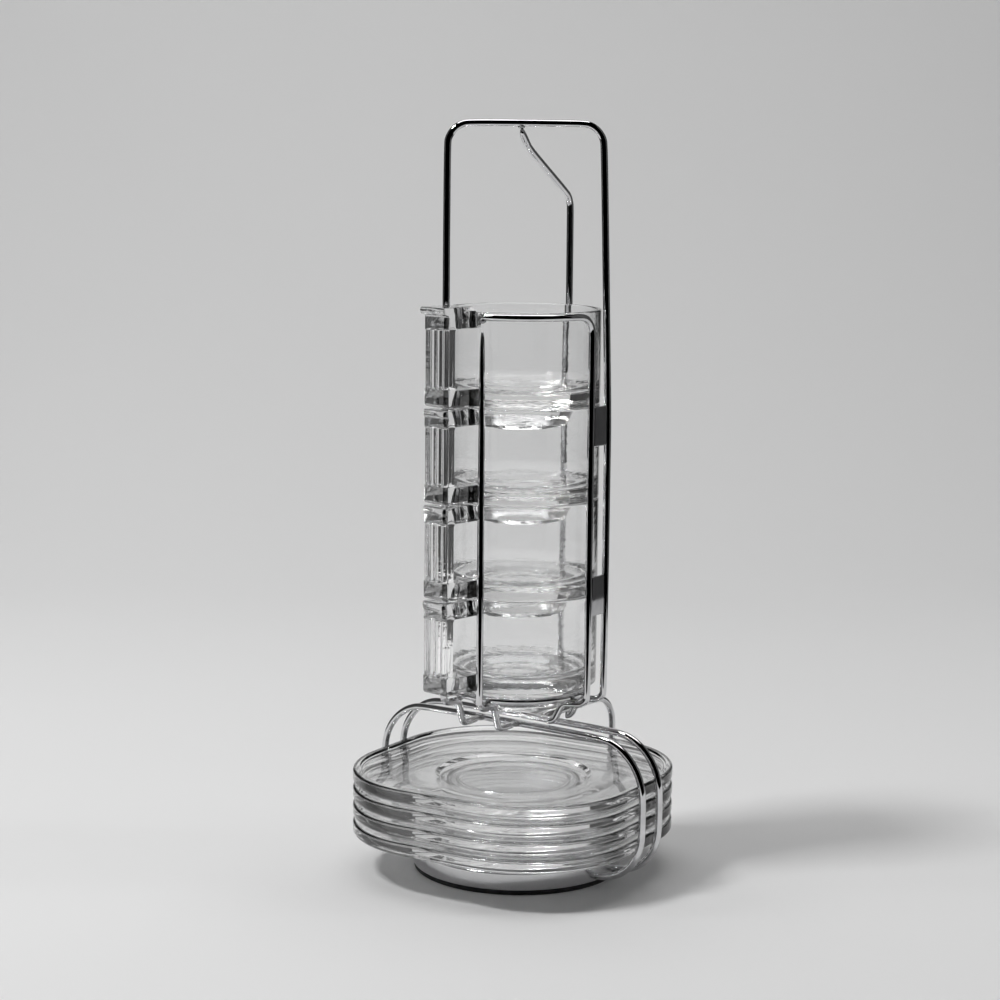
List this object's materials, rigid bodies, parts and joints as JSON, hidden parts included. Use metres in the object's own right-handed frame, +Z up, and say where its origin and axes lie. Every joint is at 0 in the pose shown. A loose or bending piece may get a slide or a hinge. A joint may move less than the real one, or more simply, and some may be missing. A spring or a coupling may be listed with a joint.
{
  "type": "stacking cup and saucer set on a wire stand",
  "caption": "Clear glass espresso cups nested in a chromed wire cage above rounded square saucers held by two hoops, on a round steel base with a tall carrying handle.",
  "frame": {"origin": "on the table, under the centre of the round base", "axes": "+Z up; X along the two saucer hoops; -Y is the front, where the cup handles point and the saucers are drawn out"},
  "size_m": [0.1378, 0.1328, 0.318],
  "materials": {
    "chrome_wire": "polished",
    "bright_steel": "bright, finely brushed",
    "black_rubber": "matt",
    "clear_glass": "clear pressed glass"
  },
  "bodies": {
    "stand": {"base_band": "bright_steel", "foot_ring": "black_rubber", "hoop_front": "chrome_wire", "hoop_back": "chrome_wire", "rear_stop_wire": "chrome_wire", "handle_frame": "chrome_wire", "back_leg": "chrome_wire", "front_leg": "chrome_wire", "front_rail": "chrome_wire", "cup_ring": "chrome_wire", "tie_plate_upper": "chrome_wire", "tie_plate_lower": "chrome_wire"},
    "saucer_1_body": {"saucer_1": "clear_glass"},
    "saucer_2_body": {"saucer_2": "clear_glass"},
    "saucer_3_body": {"saucer_3": "clear_glass"},
    "saucer_4_body": {"saucer_4": "clear_glass"},
    "cup_1_body": {"cup_1": "clear_glass"},
    "cup_2_body": {"cup_2": "clear_glass"},
    "cup_3_body": {"cup_3": "clear_glass"},
    "cup_4_body": {"cup_4": "clear_glass"}
  },
  "joints": [
    {"name": "saucer_1_pull", "type": "slide", "parent": "stand", "child": "saucer_1_body", "axis": [0, -0.9816, 0.1908], "range_m": [0, 0.1375]},
    {"name": "saucer_2_pull", "type": "slide", "parent": "saucer_1_body", "child": "saucer_2_body", "axis": [0, -0.9816, 0.1908], "range_m": [0, 0.1375]},
    {"name": "saucer_3_pull", "type": "slide", "parent": "saucer_2_body", "child": "saucer_3_body", "axis": [0, -0.9816, 0.1908], "range_m": [0, 0.1375]},
    {"name": "saucer_4_pull", "type": "slide", "parent": "saucer_3_body", "child": "saucer_4_body", "axis": [0, -0.9816, 0.1908], "range_m": [0, 0.1375]},
    {"name": "cup_1_lift", "type": "slide", "parent": "stand", "child": "cup_1_body", "axis": [0, 0, 1], "range_m": [0, 0.0103]},
    {"name": "cup_2_lift", "type": "slide", "parent": "cup_1_body", "child": "cup_2_body", "axis": [0, 0, 1], "range_m": [0, 0.0103]},
    {"name": "cup_3_lift", "type": "slide", "parent": "cup_2_body", "child": "cup_3_body", "axis": [0, 0, 1], "range_m": [0, 0.0103]},
    {"name": "cup_4_lift", "type": "slide", "parent": "cup_3_body", "child": "cup_4_body", "axis": [0, 0, 1], "range_m": [0, 0.0103]}
  ]
}
